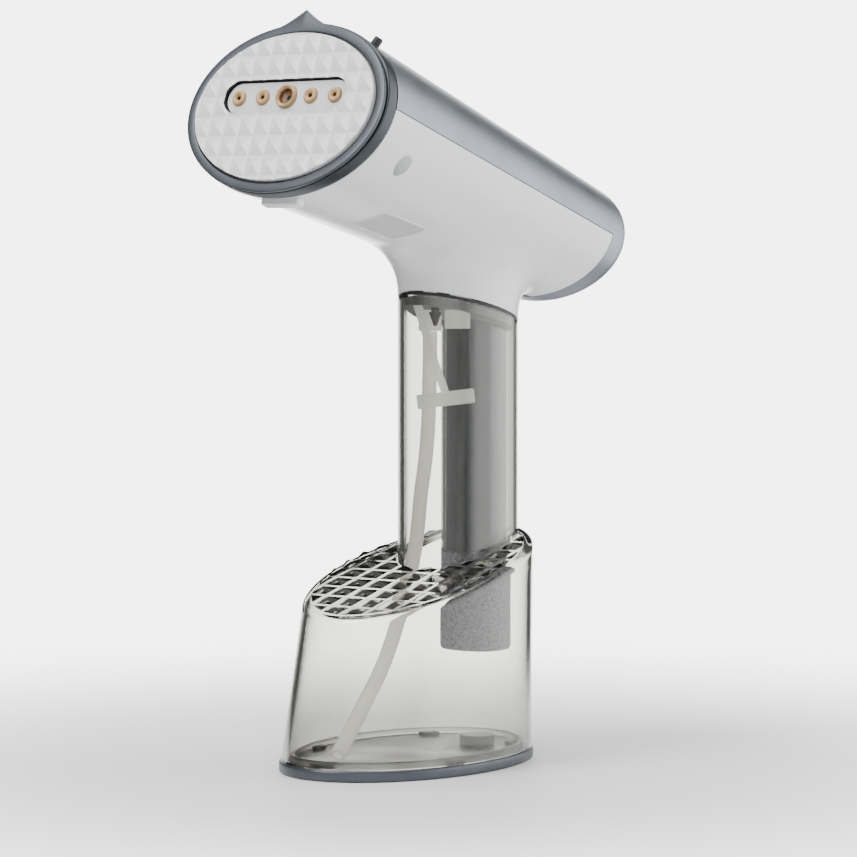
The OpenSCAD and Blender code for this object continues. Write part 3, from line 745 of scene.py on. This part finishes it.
def trimmed(points, quads, *planes):
    """The part of a surface behind every plane (point, outward normal), in millimetres."""
    mesh = bpy.data.meshes.new("part")
    mesh.from_pydata((points * MM).tolist(), [], quads.tolist())
    work = bmesh.new()
    work.from_mesh(mesh)
    bpy.data.meshes.remove(mesh)
    for place, normal in planes:
        geometry = work.verts[:] + work.edges[:] + work.faces[:]
        bmesh.ops.bisect_plane(work, geom=geometry, dist=1e-7, plane_co=Vector(place) * MM,
                               plane_no=normal, clear_outer=True)
    return work


def shell(name, parts, mat):
    """Joins trimmed surfaces and gives them the casing's wall."""
    mesh = bpy.data.meshes.new(name)
    whole = bmesh.new()
    for part in parts:
        spare = bpy.data.meshes.new("spare")
        part.to_mesh(spare)
        part.free()
        whole.from_mesh(spare)
        bpy.data.meshes.remove(spare)
    bmesh.ops.remove_doubles(whole, verts=whole.verts, dist=2e-6)
    whole.to_mesh(mesh)
    whole.free()
    obj = link(name, mesh, mat)
    skin = obj.modifiers.new("wall", "SOLIDIFY")
    skin.thickness = casing_wall * MM
    skin.offset = -1
    apply_modifiers(obj)
    shade(obj.data, 40)
    return obj


def make_head_shells():
    """White casing and grey cover, cut from one surface along the straight line between them."""
    points, quads = surface_net(head_field, *SHELL_BOX, SHELL_CELL)
    tilt = Matrix.Rotation(atan2(lift, 1), 3, "X")
    strip_up = (HEAD.to_3x3() @ tilt @ Vector((0, 1, 0))).normalized()
    strip_at = face_at(0, head_c, head_s).translation
    rim_at = face_at(0, 0, rim_s).translation
    collar_gap = 0.5
    front = (face_at(0, 0, head_s + collar_gap).translation, FRONT)
    seam_cut = (Vector((0, col_y, seam_z)), -SEAM_N)
    low = trimmed(points, quads, front, seam_cut, (strip_at, strip_up), (rim_at, -FRONT))
    casing = shell("main_casing_smooth", [low], WHITE)
    above = strip_at + strip_up * cover_gap
    top = trimmed(points, quads, front, (above, -strip_up))
    tail = trimmed(points, quads, (above, strip_up), (rim_at - FRONT * cover_gap, FRONT))
    cover = shell("top_cover_smooth", [top, tail], GREY)
    return casing, cover


def socket_cup(turn, side):
    """Blind tube behind a side opening; its rim follows the inside of the casing wall."""
    floor_x, back_x, rim_x = 32.6, 31.6, 60     # distances from the middle of the head
    under, centre = 1.2, 0.01                   # rim's depth in the wall, and a near-zero radius

    def ring(r, z):
        points = []
        for u, w in oval(r, r, 0, 48):
            s, v = socket_s + side * u, w + socket_v
            wall_x = half_a(s) * sqrt(1 - ((v - mid_v(s)) / half_b(s)) ** 2) - under
            points.append((u, w, min(z, wall_x)))
        return points
    loops = [ring(socket_r, rim_x), ring(socket_r, floor_x), ring(centre, floor_x),
             ring(centre, back_x), ring(socket_r + 1, back_x), ring(socket_r + 1, rim_x)]
    return loft("cup", loops, WHITE, turn, 40, closed=True)


def socket_turn(side):
    """Matrix with its z axis along a side socket."""
    return face_at(0, socket_v, socket_s) @ Matrix.Rotation(radians(90 * side), 4, "Y")


def make_head():
    """Both shells of the head with their openings."""
    casing, cover = make_head_shells()
    button_r, latch_r, outside = 4.75, 4.65, 60
    for side in (-1, 1):
        cut(casing, rod("peg", socket_turn(side), socket_r, 30, outside, WHITE))
    turn = Matrix.Translation((0, col_y, 169.4)) @ Matrix.Rotation(radians(-90), 4, "X")
    cut(casing, rod("button_bore", turn, button_r, 10, outside, WHITE))
    turn = Matrix.Translation((0, 26, 177.5)) @ Matrix.Rotation(radians(-90), 4, "Y")
    cut(casing, rod("latch_bore", turn, latch_r, 10, outside, WHITE))
    cut(casing, slab("slot", (17.4, 30, 4.9), 0.6, WHITE, face_at(0, -35, tab_s)))
    for side in (-1, 1):
        merge(casing, socket_cup(socket_turn(side), side))
    shade(casing.data, 40)
    settle(casing, "head", "white_plastic", "main_casing")

    # The rear opening: its seat for the panel, then a narrower way through the wall
    for a, b, top in ((22.2, 12.7, -3.5), (19.0, 11.0, 0.5)):
        outline = oval(a, b, 0, OUTLINE)
        hole = loft("panel_hole", [at(outline, -9), at(outline, top)], GREY,
                    face_at(0, panel_v, panel_s))
        cut(cover, hole)
    shade(cover.data, 40)
    settle(cover, "head", "grey_metallic", "top_cover")


# ---- Head details ---------------------------------------------------------------------------

# The bezel's pointed top: half width, height of its foot, rise to the tip, and bend of its sides
PEAK_X, PEAK_V, PEAK_RISE, PEAK_BEND = 12.5, 30.4, 6.8, 1.35


def peak(x):
    """Height of the pointed top at a distance beside the middle."""
    return PEAK_V + PEAK_RISE * max(0.0, 1 - x / PEAK_X) ** PEAK_BEND


def bezel_outline(inset):
    points = []
    for x, v in oval(head_a - 0.6 - inset, head_b - 0.3 - inset, 0, FACE_ROUND):
        if v > 0 and abs(x) < PEAK_X:
            v = max(v, peak(abs(x)) - inset)
        points.append((x, v))
    return points


def in_plate(spot):
    """Whether a spot lies on the inner edge of the bezel, beside the steam plate."""
    return hypot(spot.x / (plate_a + 1.2), spot.y / (plate_b + 1.2)) < 1


def make_face():
    """Bezel, collar and gasket round the steam plate."""
    ring = annulus("front_bezel_smooth", bezel_outline,
                   lambda e: oval(plate_a + 0.8 - e, plate_b + 0.8 - e, 0, FACE_ROUND),
                   -2.7, -1.3, 0.3, BEZEL, HEAD)
    # The bezel's inner wall beside the plate is painted black: painted shade for the gap round the
    # steam plate
    recolour(ring, BLACK_RUBBER_AND_PAINTED_SHADE,
             lambda spot, normal: abs(normal.dot(FRONT)) < 0.5 and in_plate(to_head @ spot))
    settle(ring, "head", "grey_metallic", "front_bezel")
    collar = annulus("collar_ring_smooth", lambda e: oval(head_a + 0.2 - e, head_b + 0.2 - e, 0.4),
                     lambda e: oval(head_a - 3 - e, head_b - 3 - e, 0.4),
                     -8.0, -3.0, 0.5, COLLAR, HEAD)
    settle(collar, "head", "dark_grey", "collar_ring")
    seal = annulus("face_gasket_smooth", lambda e: oval(plate_a + 0.7 - e, plate_b + 0.7 - e),
                   lambda e: oval(plate_a + 0.1 - e, plate_b + 0.1 - e),
                   -4.8, -1.9, 0.1, BLACK_RUBBER_AND_PAINTED_SHADE, HEAD)
    settle(seal, "head", "black_rubber", "face_gasket")


def stadium(w, h):
    """Outline of a slot of full width w and height h about the nozzle row."""
    points = []
    for i in range(OUTLINE):
        t = 2 * pi * (i + 0.5) / OUTLINE
        x = h / 2 * cos(t) + (w - h) / 2 * (1 if cos(t) > 0 else -1)
        points.append((x, row_v + h / 2 * sin(t)))
    return points


def make_plate():
    """Shallow pyramids over the whole plate, then the oval edge and the slot."""
    pitch_x, pitch_v, height, valley = 7.0, 7.6, 0.75, -0.45
    cols, rows = 13, 9
    verts, faces = [], []
    width = cols + 1
    x0, v0 = -cols * pitch_x / 2, -rows * pitch_v / 2 + 0.6
    for depth in (valley, -PLATE_T):
        verts += [(x0 + i * pitch_x, v0 + j * pitch_v, depth)
                  for j in range(rows + 1) for i in range(width)]
    under = (rows + 1) * width
    for j in range(rows):
        for i in range(cols):
            k = j * width + i
            ring = (k, k + 1, k + 1 + width, k + width)
            verts.append((x0 + (i + 0.5) * pitch_x, v0 + (j + 0.5) * pitch_v, height + valley))
            tip = len(verts) - 1
            faces += [(ring[m], ring[(m + 1) % 4], tip) for m in range(4)]
            faces.append(tuple(c + under for c in ring[::-1]))
    loop = list(range(width)) + [width * (j + 1) + cols for j in range(rows)] \
        + [rows * width + cols - 1 - j for j in range(cols)] \
        + [width * (rows - 1 - j) for j in range(rows - 1)]
    faces += [(a, a + under, b + under, b) for a, b in zip(loop, loop[1:] + loop[:1])]
    plate = build("steam_plate_studded", verts, faces, PLATE, 6, HEAD)
    edge = solid("edge", lambda e: oval(plate_a - e, plate_b - e), -PLATE_T, 0.3, 0.9, PLATE, HEAD)
    cut(plate, edge, "INTERSECT")
    hole = stadium(slot_w, slot_h)
    cut(plate, loft("slot", [at(hole, -20), at(hole, 20)], PLATE, HEAD))
    shade(plate.data, 7)

    # The slot's walls are painted black: painted shade in the recess round the nozzle strip
    def slot_wall_painted_shade(spot, normal):
        local = to_head @ spot
        near = abs(local.x) < slot_w / 2 + 1 and abs(local.y - row_v) < slot_h / 2 + 1
        return near and abs(normal.dot(FRONT)) < 0.3
    recolour(plate, BLACK_RUBBER_AND_PAINTED_SHADE, slot_wall_painted_shade)
    settle(plate, "head", "white_plate", "steam_plate")


# Each nozzle: radius of its seat, radius of its mouth that is painted dark as shade, and its
# (radius, height) profile
CENTRE_NOZZLE = (4.55, 2.95, [(0.8, -3.1), (4.45, -3.1), (4.45, -1.2), (4.2, -0.4), (3.8, -0.2),
                              (3.35, -0.4), (2.9, -1.0), (2.5, -2.3), (0.8, -2.8)])
SIDE_NOZZLE = (3.0, 1.0, [(0.75, -3.1), (2.9, -3.1), (2.9, -1.2), (2.6, -0.7), (2.1, -0.55),
                          (1.3, -0.75), (0.75, -1.3)])


def make_nozzles():
    """The strip in the slot with its row of five nozzles."""
    floor = stadium(slot_w - 1.1, slot_h - 1.1)
    strip = loft("nozzle_strip_smooth", [at(floor, -2.9), at(floor, -1.7)], WHITE, HEAD)
    nozzle_row = None
    for i in range(-2, 3):
        spot = face_at(i * nozzle_pitch, row_v)
        seat, shaded_mouth, profile = SIDE_NOZZLE if i else CENTRE_NOZZLE
        cut(strip, rod("seat", spot, seat, -20, 20, WHITE, 48))
        piece = lathe(f"nozzle_{i + 3}", profile, BEIGE, spot, 56, 50, closed=True)
        middle_line = spot.translation

        def inner(centre, normal):
            across = centre - middle_line
            return (across - FRONT * across.dot(FRONT)).length < shaded_mouth
        # The nozzle's mouth and bore are painted dark brown: painted shade in the recess
        recolour(piece, NOZZLE_PAINTED_SHADE, inner)
        if i == 0:
            settle(piece, "head", "beige_nozzle", "centre_nozzle")
        elif nozzle_row is None:
            nozzle_row = piece
        else:
            merge(nozzle_row, piece)
    shade(strip.data, 35)
    # The strip's side walls and seat holes are painted black: painted shade in the gaps round the
    # strip and the nozzles
    recolour(strip, BLACK_RUBBER_AND_PAINTED_SHADE, lambda spot, normal: abs(normal.dot(FRONT)) < 0.3)
    settle(strip, "head", "white_plastic", "nozzle_strip")
    nozzle_row.name = "side_nozzles_smooth"
    settle(nozzle_row, "head", "beige_nozzle", "side_nozzles")


def make_small_parts():
    """Release tab under the head and the two nubs on its cover."""
    tab = slab("release_tab_smooth", (16.8, 7.6, 4.3), 0.9, WHITE, face_at(0, -29.5, tab_s))
    settle(tab, "release_tab", "white_plastic", "release_tab")
    nubs = None
    for side in (-1, 1):
        spot = face_at(side * 26.6, 26, 10.4) @ Matrix.Rotation(radians(-side * 29), 4, "Z") \
            @ Matrix.Rotation(radians(-90), 4, "X")
        profile = [(0.01, 0.0), (1.7, 0.0), (1.7, 2.7), (1.5, 3.1), (1.1, 3.4), (0.01, 3.4)]
        nub = lathe("accessory_nubs_smooth", profile, BLACK_RUBBER_AND_PAINTED_SHADE, spot, 32, 40)
        nubs = merge(nubs, nub) if nubs else nub
    settle(nubs, "head", "dark_grey", "accessory_nubs")


def make_label():
    """The blank raised patch under the casing."""
    mid_x, mid_s, half_x, half_s, field = 12.8, 56.8, 8.0, 13.0, 0.93

    def spot(x, s, lift_off):
        a, b = half_a(s) + lift_off, half_b(s) + lift_off
        return (x, mid_v(s) - b * sqrt(max(0.0, 1 - (x / a) ** 2)), -s)

    def in_field(spot):
        return abs(spot.x - mid_x) < field * half_x and abs(-spot.z - mid_s) < field * half_s
    loops = []
    # (share of the outline, height over the casing), from the border to the middle
    rows = ((1, 0.05), (1, 0.22), (0.985, 0.3), (0.95, 0.3), (0.94, 0.2), (0.8, 0.2), (0.6, 0.2),
            (0.4, 0.2), (0.2, 0.2), (0.02, 0.2))
    for share, off in rows:
        flat = squircle(half_x * share, half_s * share, 0, 9, OUTLINE)
        loops.append([spot(mid_x + x, mid_s + y, off) for x, y in flat])
    label = loft("rating_plate_smooth", loops, WHITE, HEAD, 40)
    recolour(label, LABEL, lambda spot, normal: in_field(to_head @ spot))
    settle(label, "head", "white_plastic", "rating_plate")


def make_spine():
    """The spine that hangs from the head, with a flat behind the steam button, and its tip."""
    joint_z, gap, top_z = 98.0, 0.1, 183.9

    def section(inset):
        return squircle(spine_a - inset, spine_b - inset, spine_y, spine_power)
    upper = solid("handle_spine_smooth", section, joint_z, top_z, 0.12, SPINE, None, 30)
    flat_at = Matrix.Translation((0, spine_y + 12.6, 181))
    cut(upper, slab("button_flat", (40, 10, 40), 0.3, SPINE, flat_at))
    shade(upper.data, 30)
    settle(upper, "head", "grey_metallic", "handle_spine")
    lower = solid("spine_tip_smooth", section, spine_z, joint_z - gap, 0.12, SPINE, None, 30)
    settle(lower, "head", "grey_metallic", "spine_tip")


def make_rear_panel():
    """The panel with its holes for gland, power button and lens, and two screw recesses."""
    spot = face_at(0, panel_v, end_s)
    panel = solid("rear_panel_smooth", lambda e: oval(22 - e, 12.5 - e), -2.3, 0, 0.4, MID, spot)
    # (x, v, radius, lower end)
    holes = ((0, -5, 5.7, -9), (0, 6.2, 4.25, -9), (10.5, 4, 1.6, -9), (-17, 0, 2.4, -1),
             (17, 0, 2.4, -1))
    for x, v, r, low in holes:
        cut(panel, rod("hole", spot @ Matrix.Translation((x, v, 0)), r, low, 9, MID, 40))
    shade(panel.data, 35)
    settle(panel, "head", "grey_plastic", "rear_panel")


# ---- Stage and light ------------------------------------------------------------------------

VIEW_DIRECTION = (-sin(radians(CAMERA_AZIMUTH)), cos(radians(CAMERA_AZIMUTH)), 0.0)
RIGHT_DIRECTION = (cos(radians(42)), sin(radians(42)), 0.0)
BACKDROP = 5.5                  # brightness of the white behind the steamer
# Stops of (place, brightness), from the opposite of a direction at 0 to the direction at 1
VIEW_STOPS = ((0.0, 0.28), (0.02, 0.25), (0.12, 0.08), (0.30, 0.025), (0.965, 0.025), (0.9915, 1.0))
RIGHT_STOPS = ((0.0, 0.0), (0.79, 0.0), (0.95, 0.52), (1.0, 0.62))
FLOOR_RADIUS, FADE_START, FADE_END = 0.6, 0.11, 0.46


def lobe(nodes, links, direction, centre, stops):
    """A smooth patch of brightness around one direction."""
    dot = nodes.new("ShaderNodeVectorMath")
    dot.operation = "DOT_PRODUCT"
    dot.inputs[1].default_value = centre
    links.new(direction, dot.inputs[0])
    share = nodes.new("ShaderNodeMapRange")
    share.inputs["From Min"].default_value = -1.0
    links.new(dot.outputs["Value"], share.inputs["Value"])
    ramp = nodes.new("ShaderNodeValToRGB")
    ramp.color_ramp.interpolation = "EASE"
    ramp.color_ramp.elements[0].position = stops[0][0]
    ramp.color_ramp.elements[1].position = stops[-1][0]
    for place, _ in stops[1:-1]:
        ramp.color_ramp.elements.new(place)
    for element, (_, value) in zip(ramp.color_ramp.elements, stops):
        element.color = (value, value, value, 1)
    links.new(share.outputs["Result"], ramp.inputs["Fac"])
    return ramp.outputs["Color"]


def backdrop_colour(nodes, links, direction):
    """White behind the steamer seen from the front right, softly lit from the right, else dark."""
    back = lobe(nodes, links, direction, VIEW_DIRECTION, VIEW_STOPS)
    right = lobe(nodes, links, direction, RIGHT_DIRECTION, RIGHT_STOPS)
    both = nodes.new("ShaderNodeVectorMath")
    both.operation = "ADD"
    links.new(back, both.inputs[0])
    links.new(right, both.inputs[1])
    return both.outputs["Vector"]


def make_stage():
    """A pale floor that fades into the backdrop with distance."""
    bpy.ops.mesh.primitive_circle_add(vertices=96, radius=FLOOR_RADIUS, fill_type="NGON")
    floor = bpy.context.object
    floor.name = "floor"
    mat = finish_of("floor", (0.86, 0.86, 0.865), (0.88, 0.88, 0.885), (0.5, 0.6),
                    3.0, (60.0, 0.01))
    nodes, links = mat.node_tree.nodes, mat.node_tree.links
    where = nodes.new("ShaderNodeTexCoord")
    far = nodes.new("ShaderNodeVectorMath")
    far.operation = "LENGTH"
    links.new(where.outputs["Object"], far.inputs[0])
    fade = nodes.new("ShaderNodeMapRange")
    fade.interpolation_type = "SMOOTHSTEP"
    fade.inputs["From Min"].default_value = FADE_START
    fade.inputs["From Max"].default_value = FADE_END
    links.new(far.outputs["Value"], fade.inputs["Value"])
    clear = nodes.new("ShaderNodeBsdfTransparent")
    mix = nodes.new("ShaderNodeMixShader")
    links.new(fade.outputs["Result"], mix.inputs["Fac"])
    links.new(nodes["Principled BSDF"].outputs["BSDF"], mix.inputs[1])
    links.new(clear.outputs["BSDF"], mix.inputs[2])
    links.new(mix.outputs["Shader"], nodes["Material Output"].inputs["Surface"])
    floor.data.materials.append(mat)


def softbox(name, place, aim, size, power):
    """A rectangular area light, with sizes in metres and power in watts."""
    data = bpy.data.lights.new(name, "AREA")
    data.shape = "RECTANGLE"
    data.size, data.size_y = size
    data.energy = power
    lamp = bpy.data.objects.new(name, data)
    lamp.location = place
    lamp.rotation_euler = (Vector(aim) - Vector(place)).to_track_quat("-Z", "Y").to_euler()
    bpy.context.collection.objects.link(lamp)


def make_world():
    world = bpy.data.worlds.new("studio")
    bpy.context.scene.world = world
    world.use_nodes = True
    nodes, links = world.node_tree.nodes, world.node_tree.links
    where = nodes.new("ShaderNodeTexCoord")
    back = nodes["Background"]
    links.new(backdrop_colour(nodes, links, where.outputs["Generated"]), back.inputs["Color"])
    back.inputs["Strength"].default_value = BACKDROP


def make_lights():
    softbox("top", (-0.1, 0.1, 1.5), (0, 0.02, 0.16), (1.3, 1.3), 30)
    softbox("front_high", (-0.5, -1.3, 1.4), (0, -0.02, 0.22), (0.9, 0.9), 30)


make_camera()
make_suction_tube()
dress_cad_nodes()
make_tank()
make_floor()
make_foot()
make_tank_fittings()
make_head()
make_face()
make_plate()
make_nozzles()
make_small_parts()
make_label()
make_spine()
make_rear_panel()
make_stage()
make_world()
make_lights()
